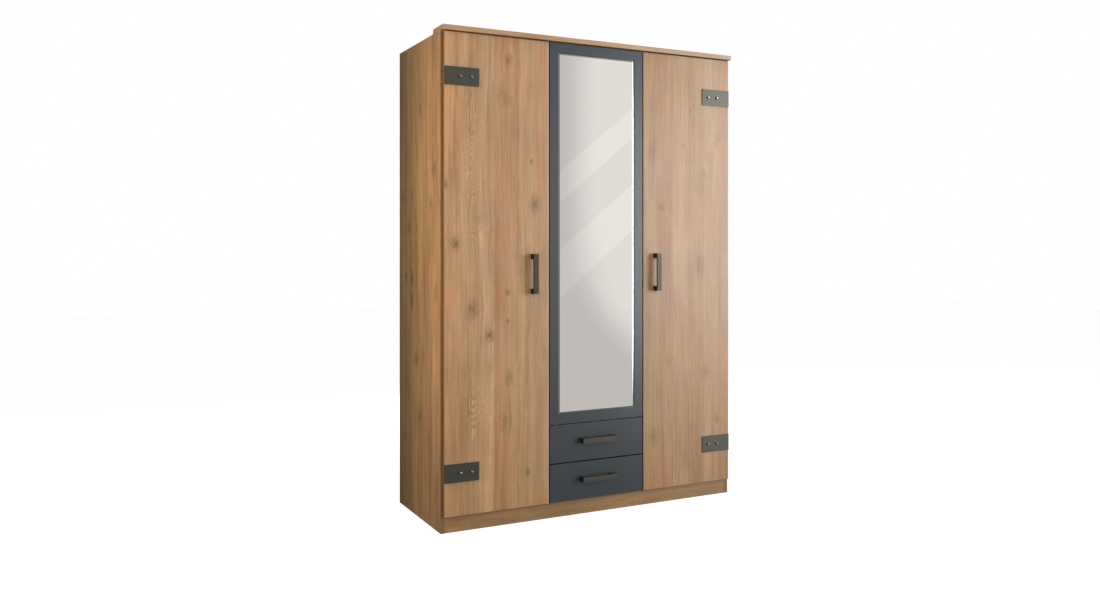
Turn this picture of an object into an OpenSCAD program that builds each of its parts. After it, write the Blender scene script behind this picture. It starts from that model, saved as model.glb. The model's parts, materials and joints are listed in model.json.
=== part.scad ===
// Three-door wardrobe: oak-decor carcass and outer doors, a graphite centre
// column with a framed mirror door above two drawers.
// Millimetres. +Z up, +X to the right seen from the front, -Y to the front.
// Origin: bottom centre of the whole piece, handles included.
// Inside place(), x is counted from the left side's outer face, y from the
// front edges of the side panels (the doors have negative y), z from the floor.

/* [Overall] */
// Overall width over the side panels
width = 1350; // [1200:10:1500]
// Height from the floor to the top of the cornice
height = 1980; // [1800:10:2200]
// Depth of the carcass with its back sheets
body_depth = 557; // [450:1:650]
// Thickness of the carcass boards
board_t = 16; // [12:1:22]

/* [Cornice and plinth] */
// Thickness of the cornice board
cornice_t = 19; // [16:1:38]
// Depth of the cornice board, front to rear
cornice_depth = 124; // [80:1:300]
// How far the cornice stands in front of the side panels
cornice_front = 31; // [20:1:60]
// Height of the plinth under the bottom panel
plinth_h = 65; // [40:1:120]
// Distance of the rear plinth from the back sheets
rear_plinth_back = 20; // [5:1:80]

/* [Doors] */
// Thickness of the doors and drawer fronts
door_t = 16; // [16:1:22]
// Gap between the carcass front and the back of the doors
door_gap = 3; // [3:0.5:5]
// Distance of the outer doors' edges from the outer side faces
door_inset = 8; // [4:0.5:12]
// Gap between neighbouring doors
between_doors = 5; // [4:0.5:8]
// Height of the doors' lower edges above the floor
door_bottom = 67; // [50:1:150]
// Gap between the doors' upper edges and the cornice
door_top_gap = 5; // [3:0.5:10]

/* [Mirror door] */
// Thickness of the mirror door's backing panel
mirror_back_t = 9; // [6:0.5:12]
// Width of the frame round the mirror
frame_w = 40; // [38.5:0.5:60]
// Thickness of the mirror glass
mirror_t = 4; // [3:0.5:6]
// Width of the bevel round the mirror
mirror_bevel_w = 7; // [2:0.5:15]
// Depth of the bevel at the mirror's edge
mirror_bevel_d = 1; // [0.5:0.1:2]
// Clearance between the mirror and its frame
mirror_clear = 0.5; // [0.2:0.1:1]

/* [Straps and bolts] */
// Length of the metal straps
strap_l = 142; // [80:1:250]
// Height of the metal straps
strap_h = 72; // [40:1:120]
// Thickness of the metal straps
strap_t = 4; // [2:0.5:8]
// Underside of the lower straps above the floor
strap_low_z = 199; // [100:1:400]
// Underside of the upper straps above the floor
strap_high_z = 1748.5; // [1400:0.5:1900]
// First bolt's distance from the door's outer edge
bolt_x1 = 65; // [20:1:120]
// Second bolt's distance from the door's outer edge
bolt_x2 = 111; // [40:1:200]
// Radius of the bolt heads
bolt_head_r = 5.5; // [4:0.5:12]
// Height of the bolt heads
bolt_head_h = 8; // [3:0.5:12]
// Radius of the bolt shanks
bolt_r = 3; // [2:0.5:4]

/* [Handles] */
// Length of the handle bars
handle_l = 161; // [100:1:320]
// Width of the handle bars
handle_w = 21; // [10:1:30]
// Thickness of the handle bars
handle_t = 8; // [5:0.5:12]
// Free depth behind the handle bars
handle_free = 26; // [20:1:40]
// Length of the handle feet along the bar
handle_foot = 20; // [8:1:30]
// Height of the door handles' centres
handle_z = 1008; // [800:1:1200]
// Left handle's centre from the left door's free edge
handle_in_left = 68.5; // [40:0.5:100]
// Right handle's centre from the right door's free edge
handle_in_right = 61.5; // [40:0.5:100]
// Drawer handles' centre above the drawer front's lower edge
drawer_handle_z = 85; // [40:1:120]

/* [Drawers] */
// Height of each drawer front
drawer_h = 155.5; // [120:0.5:250]
// Gap between the fronts of the centre column
front_gap = 5; // [3:0.5:8]
// Thickness of the drawer box boards
box_t = 12; // [10:1:16]
// Height of the drawer box
box_h = 100; // [80:1:140]
// Length of the drawer box
box_l = 450; // [350:10:500]
// Space for the runner on each side
runner_gap = 12.5; // [12.5:0.5:13.5]
// Height of the drawer box above its front's lower edge
box_lift = 30; // [20:1:40]

/* [Inside] */
// Underside of the hat shelf
hat_z = 1600; // [1400:10:1750]
// Height of the hanging rail's centre
rail_z = 1550; // [1350:10:1700]
// Outer radius of the hanging rail
rail_r = 12.5; // [10:0.5:16]
// Underside of the lower centre shelf
centre_z1 = 760; // [500:10:900]
// Underside of the middle centre shelf
centre_z2 = 1130; // [950:10:1300]
// Underside of the upper centre shelf
centre_z3 = 1500; // [1350:10:1700]
// Underside of the first right shelf, counted from below
right_z1 = 440; // [200:10:600]
// Underside of the second right shelf
right_z2 = 800; // [650:10:950]
// Underside of the third right shelf
right_z3 = 1160; // [1000:10:1300]
// Underside of the fourth right shelf
right_z4 = 1520; // [1350:10:1700]
// Thickness of the back sheets
back_t = 3; // [2.5:0.5:6]
// Radius of the shelf pins
pin_r = 2.5; // [2:0.5:4]

/* [Hinges] */
// Height of the outer doors' lowest hinge
hinge_z1 = 180; // [120:10:300]
// Height of the outer doors' second hinge
hinge_z2 = 720; // [600:10:780]
// Height of the outer doors' third hinge
hinge_z3 = 1260; // [1180:10:1400]
// Height of the highest hinge of all three doors
hinge_z4 = 1810; // [1700:10:1830]
// Height of the mirror door's lowest hinge
mirror_hinge_z1 = 490; // [450:10:600]
// Height of the mirror door's second hinge
mirror_hinge_z2 = 930; // [850:10:1000]
// Height of the mirror door's third hinge
mirror_hinge_z3 = 1370; // [1200:10:1450]
// Distance of the hinge pin from the door's edge
pivot_in = 7.4; // [7:0.1:8]
// Depth of the hinge pin below the door's rear face
pivot_deep = 9; // [8.5:0.1:10]
// Radius of the hinge pin
hinge_pin_r = 1.5; // [1:0.1:2]
// Radial play of hinge pins and roller studs
play = 0.05; // [0.02:0.01:0.1]

/* [Hidden] */
$fn = 48;
e = 0.01;

// depth in front of the side panels taken by door and handle
reach = door_gap + door_t + handle_free + handle_t;
front = (reach - body_depth) / 2;
side_h = height - cornice_t;
back_y = body_depth - back_t;
floor_z = plinth_h + board_t;
ceiling_z = side_h - board_t;
door_y0 = -door_gap - door_t;
door_y1 = -door_gap;
door_top = side_h - door_top_gap;

// the outer doors overlap the sides more, so they are this much wider
outer_extra = 5;
outer_w = (width - 2 * door_inset - 2 * between_doors + outer_extra) / 3;
left_x0 = door_inset;
left_x1 = left_x0 + outer_w;
mid_x0 = left_x1 + between_doors;
mid_x1 = width - mid_x0;
right_x0 = width - left_x1;
right_x1 = width - left_x0;

// the dividers stand centred behind the gaps between the doors
div_l0 = left_x1 + between_doors / 2 - board_t / 2;
div_l1 = div_l0 + board_t;
div_r0 = width - div_l1;
div_r1 = width - div_l0;

// drawer fronts and the mirror door above them
low_z0 = door_bottom;
low_z1 = low_z0 + drawer_h;
up_z0 = low_z1 + front_gap;
up_z1 = up_z0 + drawer_h;
mirror_z0 = up_z1 + front_gap;
cover_lap = 5;
cover_z = up_z1 - cover_lap;

// frame opening of the mirror door
open_x0 = mid_x0 + frame_w;
open_x1 = mid_x1 - frame_w;
open_z0 = mirror_z0 + frame_w;
open_z1 = door_top - frame_w;
frame_y1 = -door_gap - mirror_back_t;

// front stretchers under the top panel
stretcher_y0 = 32;
stretcher_y1 = stretcher_y0 + board_t;
stretcher_h = 80;
stretcher_z0 = ceiling_z - stretcher_h;
stretcher_screw_up = 28;

// adjustable shelves
shelf_y0 = 20;
shelf_y1 = back_y - 1;
shelf_side = 1;
pin_hole = 7;
pin_out = 8;
pin_play = 0.05;
pin_y1 = 60;
pin_y2 = 500;
centre_zs = [centre_z1, centre_z2, centre_z3];
right_zs = [right_z1, right_z2, right_z3, right_z4];

// screws that hold the handles, and bolts through the straps
handle_hole_r = 2.1;
handle_screw_r = 2;
handle_screw_in = 4;
handle_head_r = 4.5;
handle_head_h = 1.8;
bolt_play = 0.1;
bolt_in = 10;
dome_h = 2.5;
dome_step = 1.2;

// screws through the outer sides: distance from the front, height
screw_head_r = 4.5;
screw_head_h = 2.5;
screw_r = 2.5;
screw_l = 48;
screw_sunk = 0.2;
screw_socket_r = 2;
screw_socket_h = 1.8;
screw_play = 0.1;
top_screw_z = side_h - board_t / 2;
bottom_screw_z = plinth_h + board_t / 2;
top_screws = [[40, top_screw_z], [460, top_screw_z]];
bottom_screws = [[37, bottom_screw_z], [454, bottom_screw_z]];
stretcher_screws = [[stretcher_y0 + board_t / 2, stretcher_z0 + stretcher_screw_up]];
side_screws = concat(top_screws, bottom_screws, stretcher_screws);

// back sheets and their nails
sheet_z0 = 55;
sheet_z1 = side_h - 3;
sheet_edge = 3;
sheet_gap = 1;
nail_r = 2.5;
nail_h = 0.9;
nail_shank_r = 0.8;
nail_in = 4.5;
nail_play = 0.05;
nail_end = 60;
nail_steps = 5;

// hanging rail
rail_y = 290;
rail_wall = 1.2;
flange_t = 3;
flange_rim = 10;
flange_screw_r = 2;
flange_screw_z = 18.5;
collar_l = 12;
collar_wall = 2.5;

// hinges, measured from the pin: +x into the door, +y into the carcass
cup_r = 17.4;
cup_bore_r = 17.5;
cup_inner_r = 16.8;
cup_edge = 3.3;
cup_x = cup_edge + cup_bore_r - pivot_in;
cup_floor = -3.9;
cup_bore_floor = -4;
cup_floor_t = 0.6;
wing_t = 1;
wing_x0 = cup_x - 5.4;
wing_x1 = cup_x + 16;
wing_z = 27;
wing_screw_x = cup_x + 9.5;
wing_screw_z = 22.5;
wing_screw_r = 3.2;
wing_screw_h = 2.2;
eye_r = 3;
eye_h = 6.8;
tongue_x = 4;
neck_x0 = 12.5;
neck_x1 = 14.5;
neck_t = 2;
neck_h = 12;
arm_y0 = 17;
arm_y1 = 60;
arm_h = 14;
arm_wall = 1.5;
arm_end = 3;
arm_screw_ys = [32, 54];
arm_screw_r = 3;
arm_screw_h = 0.9;
base_t = 2;
base_y0 = 44;
base_y1 = 54;
base_z = 24;
base_screw_z = 16;
base_screw_r = 3.5;
base_screw_h = 1.6;
hinge_y = -door_gap - pivot_deep;
outer_hinges = [hinge_z1, hinge_z2, hinge_z3, hinge_z4];
mirror_hinges = [mirror_hinge_z1, mirror_hinge_z2, mirror_hinge_z3, hinge_z4];
outer_overlap = board_t - door_inset;
mirror_overlap = div_l1 - mid_x0;

// drawer boxes and roller runners
box_x0 = div_l1 + runner_gap;
box_x1 = div_r0 - runner_gap;
box_y1 = door_y1 + box_l;
groove = 6;
sheet_t = 3;
sheet_up = 10;
sheet_play = 0.1;
run_z = 16;
channel_w = 9.5;
channel_h = 32;
channel_screw_ys = [90, 250, 410];
channel_screw_r = 3.2;
channel_screw_h = 0.6;
run_y0 = 5;
run_y1 = 455;
member_y0 = door_y1 + 1;
member_top = 9.5;
member_foot = 10;
member_lip_x = 3.3;
steel = 1.2;
roller_w = 6.5;
roller_gap = 0.4;
roller_bore_r = 1.4;
roller_bore_l = 3;
stud_r = 2.5;
stud_shoulder_r = 4;
stud_head_r = 3.6;
stud_head_h = 0.9;
stud_hub = 0.6;
front_roller_r = 11;
front_roller_z = -3;
front_roller_x = 3;
front_roller_y = 19;
rear_roller_r = 9.5;
rear_roller_z = -5;
rear_roller_x = 3.5;
rear_roller_y = box_y1 - 10;

// angle brackets that tie the wardrobe to the wall
bracket_w = 24;
bracket_depth = 30;
bracket_h = 18;
bracket_t = 2;
bracket_x = 200;
bracket_screw_x = 6;
bracket_screw_back = 18;
bracket_screw_r = 3.2;
bracket_screw_h = 1.4;
wall_hole_r = 2.75;
wall_hole_up = 10;
wall_hole_z = side_h + wall_hole_up;

module place() {
    translate([-width / 2, front, 0]) children();
}

module board(x0, x1, y0, y1, z0, z1) {
    translate([x0, y0, z0]) cube([x1 - x0, y1 - y0, z1 - z0]);
}

// the same thing on the right-hand half of the wardrobe
module flip() {
    translate([width, 0, 0]) mirror([1, 0, 0]) children();
}

// round bar along x, y or z from the given point
module rod_x(x, y, z, r, l) {
    translate([x, y, z]) rotate([0, 90, 0]) cylinder(r = r, h = l);
}

module rod_y(x, y, z, r, l) {
    translate([x, y, z]) rotate([-90, 0, 0]) cylinder(r = r, h = l);
}

module rod_z(x, y, z, r, l) {
    translate([x, y, z]) cylinder(r = r, h = l);
}

// ---- carcass ----

// screw holes through the left side and into the boards' ends
module screw_holes(list) {
    for (s = list) {
        rod_x(-e, s[0], s[1], screw_head_r + screw_play, screw_head_h + e);
        rod_x(0, s[0], s[1], screw_r + screw_play, screw_l + screw_play);
    }
}

// four pin holes or pins for one shelf, on the wall at x
module pin_row(x, z, r, l) {
    for (y = [pin_y1, pin_y2]) rod_x(x, y, z - pin_r, r, l);
}

module pin_holes_right_of(x, z) {
    pin_row(x - pin_hole, z, pin_r + pin_play, pin_hole + e);
}

module pin_holes_left_of(x, z) {
    pin_row(x - e, z, pin_r + pin_play, pin_hole + e);
}

module side_board() {
    difference() {
        board(0, board_t, 0, back_y, 0, side_h);
        screw_holes(side_screws);
    }
}

module left_side() {
    color("#b98a5c") place() difference() {
        side_board();
        pin_holes_right_of(board_t, hat_z);
    }
}

module right_side() {
    color("#b98a5c") place() difference() {
        flip() side_board();
        for (z = right_zs) pin_holes_left_of(width - board_t, z);
    }
}

module divider() {
    board(div_l0, div_l1, 0, back_y, floor_z, ceiling_z);
}

module left_divider() {
    color("#b98a5c") place() difference() {
        divider();
        pin_holes_left_of(div_l0, hat_z);
        for (z = centre_zs) pin_holes_right_of(div_l1, z);
    }
}

module right_divider() {
    color("#b98a5c") place() difference() {
        flip() divider();
        for (z = centre_zs) pin_holes_left_of(div_r0, z);
        for (z = right_zs) pin_holes_right_of(div_r1, z);
    }
}

module top_panel() {
    color("#b98a5c") place() difference() {
        board(board_t, width - board_t, 0, back_y, ceiling_z, side_h);
        screw_holes(top_screws);
        flip() screw_holes(top_screws);
    }
}

module bottom_panel() {
    color("#b98a5c") place() difference() {
        board(board_t, width - board_t, 0, back_y, plinth_h, floor_z);
        screw_holes(bottom_screws);
        flip() screw_holes(bottom_screws);
    }
}

module front_plinth() {
    color("#a57a4c") place()
        board(board_t, width - board_t, 1, 1 + board_t, 0, plinth_h);
}

module rear_plinth() {
    y1 = back_y - rear_plinth_back;
    color("#a57a4c") place()
        board(board_t, width - board_t, y1 - board_t, y1, 0, plinth_h);
}

module cornice() {
    color("#c39668") place()
        board(0, width, -cornice_front, cornice_depth - cornice_front, side_h, height);
}

// left edges and right edges of the three back sheets
sheet_x0 = [sheet_edge, left_x1 + between_doors / 2 + sheet_gap / 2,
    width - left_x1 - between_doors / 2 + sheet_gap / 2];
sheet_x1 = [left_x1 + between_doors / 2 - sheet_gap / 2,
    width - left_x1 - between_doors / 2 - sheet_gap / 2, width - sheet_edge];

module nail_spots() {
    for (i = [0:2]) {
        for (k = [0:nail_steps]) {
            z = sheet_z0 + nail_end + k * (sheet_z1 - sheet_z0 - 2 * nail_end) / nail_steps;
            translate([sheet_x0[i] + nail_in, 0, z]) children();
            translate([sheet_x1[i] - nail_in, 0, z]) children();
        }
        for (k = [1:2]) {
            x = sheet_x0[i] + k * (sheet_x1[i] - sheet_x0[i]) / 3;
            translate([x, 0, plinth_h + board_t / 2]) children();
            translate([x, 0, side_h - board_t / 2]) children();
        }
    }
}

module nail(extra) {
    rod_y(0, body_depth - nail_h - extra, 0, nail_r + extra, nail_h + 2 * extra);
    rod_y(0, back_y - extra, 0, nail_shank_r + extra, back_t + 2 * extra);
}

module back_sheets() {
    color("#cfc5b4") place() difference() {
        for (i = [0:2])
            board(sheet_x0[i], sheet_x1[i], back_y, body_depth, sheet_z0, sheet_z1);
        nail_spots() nail(nail_play);
    }
}

module back_nails() {
    color("#b0b0ae") place() nail_spots() nail(0);
}

module front_stretchers() {
    color("#b98a5c") place() difference() {
        union() {
            board(board_t, div_l0, stretcher_y0, stretcher_y1, stretcher_z0, ceiling_z);
            board(div_l1, div_r0, stretcher_y0, stretcher_y1, stretcher_z0, ceiling_z);
            board(div_r1, width - board_t, stretcher_y0, stretcher_y1, stretcher_z0, ceiling_z);
        }
        screw_holes(stretcher_screws);
        flip() screw_holes(stretcher_screws);
    }
}

module shelf(x0, x1, z) {
    board(x0 + shelf_side, x1 - shelf_side, shelf_y0, shelf_y1, z, z + board_t);
}

module hat_shelf() {
    color("#c39668") place() shelf(board_t, div_l0, hat_z);
}

module centre_shelf(i) {
    color("#c39668") place() shelf(div_l1, div_r0, centre_zs[i]);
}

module right_shelf(i) {
    color("#c39668") place() shelf(div_r1, width - board_t, right_zs[i]);
}

// fixed shelf that closes the drawers' space at the top
module drawer_cover() {
    color("#c39668") place()
        board(div_l1, div_r0, 0, back_y, cover_z, cover_z + board_t);
}

module hanging_rail() {
    l = div_l0 - board_t - 2 * flange_t;
    color("#c8cacc") place() difference() {
        rod_x(board_t + flange_t, rail_y, rail_z, rail_r, l);
        rod_x(board_t, rail_y, rail_z, rail_r - rail_wall, l + 2 * flange_t);
    }
}

// flange and collar that hold one end of the hanging rail
module rail_socket() {
    difference() {
        union() {
            rod_x(0, rail_y, rail_z, rail_r + flange_rim, flange_t);
            rod_x(0, rail_y, rail_z, rail_r + collar_wall, flange_t + collar_l);
        }
        rod_x(flange_t, rail_y, rail_z, rail_r + play, collar_l + 1);
        for (s = [-1, 1])
            rod_x(-1, rail_y, rail_z + s * flange_screw_z, flange_screw_r, flange_t + 2);
    }
}

module rail_sockets() {
    color("#b9bbbd") place() {
        translate([board_t, 0, 0]) rail_socket();
        translate([div_l0, 0, 0]) mirror([1, 0, 0]) rail_socket();
    }
}

module pins_right_of(x, z) {
    pin_row(x - pin_hole, z, pin_r, pin_hole + pin_out);
}

module pins_left_of(x, z) {
    pin_row(x - pin_out, z, pin_r, pin_hole + pin_out);
}

module shelf_pins() {
    color("#c8cacc") place() {
        pins_right_of(board_t, hat_z);
        pins_left_of(div_l0, hat_z);
        for (z = centre_zs) {
            pins_right_of(div_l1, z);
            pins_left_of(div_r0, z);
        }
        for (z = right_zs) {
            pins_right_of(div_r1, z);
            pins_left_of(width - board_t, z);
        }
    }
}

// flush screw heads with a hexagon socket
module carcass_screw(s) {
    difference() {
        union() {
            rod_x(screw_sunk, s[0], s[1], screw_head_r, screw_head_h - screw_sunk);
            rod_x(screw_sunk, s[0], s[1], screw_r, screw_l - screw_sunk);
        }
        translate([0, s[0], s[1]]) rotate([0, 90, 0])
            cylinder(r = screw_socket_r, h = screw_socket_h, $fn = 6);
    }
}

module carcass_screws() {
    color("#d9d4c8") place() {
        for (s = side_screws) carcass_screw(s);
        flip() for (s = side_screws) carcass_screw(s);
    }
}

module wall_bracket(x) {
    y1 = body_depth;
    difference() {
        union() {
            board(x - bracket_w / 2, x + bracket_w / 2, y1 - bracket_depth, y1,
                side_h, side_h + bracket_t);
            board(x - bracket_w / 2, x + bracket_w / 2, y1 - bracket_t, y1,
                side_h, side_h + bracket_h);
            for (s = [-bracket_screw_x, bracket_screw_x])
                rod_z(x + s, y1 - bracket_screw_back, side_h + bracket_t - e,
                    bracket_screw_r, bracket_screw_h);
        }
        rod_y(x, y1 - bracket_t - 1, wall_hole_z, wall_hole_r, bracket_t + 2);
    }
}

module wall_brackets() {
    color("#b9bbbd") place() {
        wall_bracket(bracket_x);
        wall_bracket(width - bracket_x);
    }
}

// ---- hinges ----

// puts a hinge part at the pin of a door whose outer edge is at x
module at_pin(x, z) {
    translate([x + pivot_in, hinge_y, z]) children();
}

// goose-neck arm on its mounting plate; overlap is how far the door laps
// over the board that carries the arm
module hinge_arm(overlap) {
    xi = overlap - pivot_in;
    difference() {
        union() {
            rod_z(0, 0, -eye_h / 2, eye_r, eye_h);
            board(0, neck_x1, -neck_t / 2, neck_t / 2, -eye_h / 2, eye_h / 2);
            board(tongue_x, neck_x1, -neck_t / 2, neck_t / 2, -neck_h / 2, neck_h / 2);
            board(neck_x0, neck_x1, -neck_t / 2, arm_y0 + neck_t, -neck_h / 2, neck_h / 2);
            board(xi, neck_x1, arm_y0, arm_y1, -arm_h / 2, arm_h / 2);
            board(xi, xi + base_t, base_y0, base_y1, -base_z, base_z);
            for (s = [-base_screw_z, base_screw_z])
                rod_x(xi + base_t - e, (base_y0 + base_y1) / 2, s, base_screw_r, base_screw_h);
            for (y = arm_screw_ys) rod_x(neck_x1 - e, y, 0, arm_screw_r, arm_screw_h);
        }
        rod_z(0, 0, -eye_h / 2 - 1, hinge_pin_r + play, eye_h + 2);
        board(xi + base_t, neck_x1 - arm_wall, arm_y0 + arm_end, arm_y1 - arm_end,
            -arm_h / 2 + arm_wall, arm_h / 2 + 1);
    }
}

// cup let into the door, with its screw plate and the hinge pin
module hinge_cup() {
    difference() {
        union() {
            rod_y(cup_x, cup_floor, 0, cup_r, pivot_deep - cup_floor);
            board(wing_x0, wing_x1, pivot_deep, pivot_deep + wing_t, -wing_z, wing_z);
            rod_y(cup_x, pivot_deep - e, 0, cup_r, wing_t + e);
            for (s = [-wing_screw_z, wing_screw_z])
                rod_y(wing_screw_x, pivot_deep, s, wing_screw_r, wing_screw_h);
        }
        rod_y(cup_x, cup_floor + cup_floor_t, 0, cup_inner_r, pivot_deep - cup_floor + 2);
    }
    intersection() {
        rod_z(0, 0, -cup_r, hinge_pin_r, 2 * cup_r);
        rod_y(cup_x, cup_floor, 0, cup_r, pivot_deep - cup_floor);
    }
}

module cup_bore() {
    rod_y(cup_x, cup_bore_floor, 0, cup_bore_r, pivot_deep - cup_bore_floor + 1);
}

module hinge_arms() {
    color("#c8cacc") place() {
        for (z = outer_hinges) {
            at_pin(left_x0, z) hinge_arm(outer_overlap);
            flip() at_pin(left_x0, z) hinge_arm(outer_overlap);
        }
        for (z = mirror_hinges) at_pin(mid_x0, z) hinge_arm(mirror_overlap);
    }
}

module left_door_cups() {
    color("#c8cacc") place()
        for (z = outer_hinges) at_pin(left_x0, z) hinge_cup();
}

module right_door_cups() {
    color("#c8cacc") place() flip()
        for (z = outer_hinges) at_pin(left_x0, z) hinge_cup();
}

module mirror_door_cups() {
    color("#c8cacc") place()
        for (z = mirror_hinges) at_pin(mid_x0, z) hinge_cup();
}

// ---- outer doors ----

// holes or screws of an upright handle centred on x
module upright_handle_holes(x) {
    for (s = [-1, 1])
        rod_y(x, door_y0 - 1, handle_z + s * (handle_l - handle_foot) / 2,
            handle_hole_r, door_t + 2);
}

module bolt_holes() {
    for (z = [strap_low_z, strap_high_z])
        for (x = [bolt_x1, bolt_x2])
            rod_y(left_x0 + x, door_y0 - strap_t - 1, z + strap_h / 2,
                bolt_r + bolt_play, strap_t + bolt_in + 2);
}

// door with the hinges on its left, handle hole centre at handle_x
module outer_door(handle_x) {
    difference() {
        board(left_x0, left_x1, door_y0, door_y1, door_bottom, door_top);
        for (z = outer_hinges) at_pin(left_x0, z) cup_bore();
        bolt_holes();
        upright_handle_holes(handle_x);
    }
}

module left_door() {
    color("#c0905f") place() outer_door(left_x1 - handle_in_left);
}

module right_door() {
    color("#c0905f") place() flip() outer_door(left_x1 - handle_in_right);
}

// bar with a foot at each end and the two screws that hold it, lying along z
// or along x; the given point is the bar's centre on the door's front face
module handle(along_x) {
    turn = along_x ? [0, 90, 0] : [0, 0, 0];
    rotate(turn) {
        board(-handle_w / 2, handle_w / 2, -handle_free - handle_t, -handle_free,
            -handle_l / 2, handle_l / 2);
        for (s = [-1, 1]) {
            c = s * (handle_l - handle_foot) / 2;
            board(-handle_w / 2, handle_w / 2, -handle_free - e, 0,
                c - handle_foot / 2, c + handle_foot / 2);
            rod_y(0, -handle_screw_in, c, handle_screw_r, door_t + handle_screw_in + 1);
            rod_y(0, door_t, c, handle_head_r, handle_head_h);
        }
    }
}

module left_door_handle() {
    color("#55524c") place()
        translate([left_x1 - handle_in_left, door_y0, handle_z]) handle(false);
}

module right_door_handle() {
    color("#55524c") place()
        translate([right_x0 + handle_in_right, door_y0, handle_z]) handle(false);
}

module straps() {
    difference() {
        for (z = [strap_low_z, strap_high_z])
            board(left_x0, left_x0 + strap_l, door_y0 - strap_t, door_y0, z, z + strap_h);
        bolt_holes();
    }
}

module left_door_straps() {
    color("#4a4d46") place() straps();
}

module right_door_straps() {
    color("#4a4d46") place() flip() straps();
}

// domed bolt head on a shank that reaches into the door
module bolt() {
    y = door_y0 - strap_t;
    rod_y(0, y - bolt_head_h + dome_h, 0, bolt_head_r, bolt_head_h - dome_h);
    translate([0, y - bolt_head_h + dome_h, 0]) rotate([90, 0, 0])
        cylinder(r1 = bolt_head_r, r2 = bolt_head_r - 1, h = dome_step);
    translate([0, y - bolt_head_h + dome_h - dome_step, 0]) rotate([90, 0, 0])
        cylinder(r1 = bolt_head_r - 1, r2 = bolt_head_r - 3, h = dome_h - dome_step);
    rod_y(0, y - 1, 0, bolt_r, strap_t + bolt_in + 1);
}

module bolts() {
    for (z = [strap_low_z, strap_high_z])
        for (x = [bolt_x1, bolt_x2])
            translate([left_x0 + x, 0, z + strap_h / 2]) bolt();
}

module left_door_bolts() {
    color("#6c6e68") place() bolts();
}

module right_door_bolts() {
    color("#6c6e68") place() flip() bolts();
}

// ---- mirror door ----

module mirror_cup_bores() {
    for (z = mirror_hinges) at_pin(mid_x0, z) cup_bore();
}

module mirror_door() {
    color("#464d51") place() difference() {
        board(mid_x0, mid_x1, frame_y1, door_y1, mirror_z0, door_top);
        mirror_cup_bores();
    }
}

module mirror_stiles() {
    color("#464d51") place() difference() {
        union() {
            board(mid_x0, open_x0, door_y0, frame_y1, mirror_z0, door_top);
            board(open_x1, mid_x1, door_y0, frame_y1, mirror_z0, door_top);
        }
        mirror_cup_bores();
    }
}

module mirror_rails() {
    color("#464d51") place() {
        board(open_x0, open_x1, door_y0, frame_y1, mirror_z0, open_z0);
        board(open_x0, open_x1, door_y0, frame_y1, open_z1, door_top);
    }
}

// pane with a bevel round its front face
module mirror_glass() {
    c = mirror_clear;
    b = mirror_bevel_w + c;
    y0 = frame_y1 - mirror_t;
    color("#d2d0cd") place() hull() {
        board(open_x0 + c, open_x1 - c, y0 + mirror_bevel_d, frame_y1, open_z0 + c, open_z1 - c);
        board(open_x0 + b, open_x1 - b, y0, frame_y1, open_z0 + b, open_z1 - b);
    }
}

// ---- drawers; z0 is the lower edge of the drawer's front ----

module drawer_front(z0) {
    color("#464d51") place() difference() {
        board(mid_x0, mid_x1, door_y0, door_y1, z0, z0 + drawer_h);
        for (s = [-1, 1])
            rod_y(width / 2 + s * (handle_l - handle_foot) / 2, door_y0 - 1,
                z0 + drawer_handle_z, handle_hole_r, door_t + 2);
    }
}

module drawer_handle(z0) {
    color("#55524c") place()
        translate([width / 2, door_y0, z0 + drawer_handle_z]) handle(true);
}

module box_sheet(z0, extra) {
    z = z0 + box_lift + sheet_up;
    board(box_x0 + box_t - groove - extra, box_x1 - box_t + groove + extra,
        door_y1 - 10 * extra, box_y1 + 10 * extra, z - extra, z + sheet_t + extra);
}

module box_sides(z0) {
    z = z0 + box_lift;
    color("#d8d4cb") place() difference() {
        union() {
            board(box_x0, box_x0 + box_t, door_y1, box_y1, z, z + box_h);
            board(box_x1 - box_t, box_x1, door_y1, box_y1, z, z + box_h);
        }
        box_sheet(z0, sheet_play);
    }
}

module box_back(z0) {
    z = z0 + box_lift;
    color("#d8d4cb") place()
        board(box_x0 + box_t, box_x1 - box_t, box_y1 - box_t, box_y1,
            z + sheet_up + sheet_t + 2 * sheet_play, z + box_h);
}

module box_bottom(z0) {
    color("#cfc5b4") place() box_sheet(z0, 0);
}

// frame of the left-hand runner: x from the divider, z from the runner's centre
module at_runner(z0) {
    translate([div_l1, 0, z0 + box_lift + run_z]) children();
}

// channel on the divider, with the front roller's stud
module cabinet_runner() {
    h = channel_h / 2;
    head_x = front_roller_x + roller_w + roller_gap;
    board(0, steel, run_y0, run_y1, -h, h);
    board(0, channel_w, run_y0, run_y1, -h, -h + steel);
    board(0, channel_w, run_y0, run_y1, h - steel, h);
    translate([0, front_roller_y, front_roller_z]) {
        rod_x(0, 0, 0, stud_shoulder_r, front_roller_x - roller_gap);
        rod_x(0, 0, 0, stud_r, head_x + stud_head_h);
        rod_x(head_x, 0, 0, stud_head_r, stud_head_h);
    }
    for (y = channel_screw_ys) rod_x(steel - e, y, 0, channel_screw_r, channel_screw_h);
}

// angle under the drawer side, with the rear roller's stud
module drawer_member() {
    x0 = runner_gap - steel;
    z0 = -channel_h / 2;
    shoulder_x = rear_roller_x + roller_w + roller_gap;
    head_x = rear_roller_x - roller_gap - stud_head_h;
    board(x0, runner_gap, member_y0, box_y1, z0 - steel, member_top);
    board(x0, runner_gap + member_foot, member_y0, box_y1, z0 - steel, z0);
    board(member_lip_x, runner_gap, member_y0, box_y1, member_top - steel, member_top);
    translate([0, rear_roller_y, rear_roller_z]) {
        rod_x(shoulder_x, 0, 0, stud_shoulder_r, x0 - shoulder_x + e);
        rod_x(head_x, 0, 0, stud_r, x0 - head_x + e);
        rod_x(head_x, 0, 0, stud_head_r, stud_head_h);
    }
}

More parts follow.
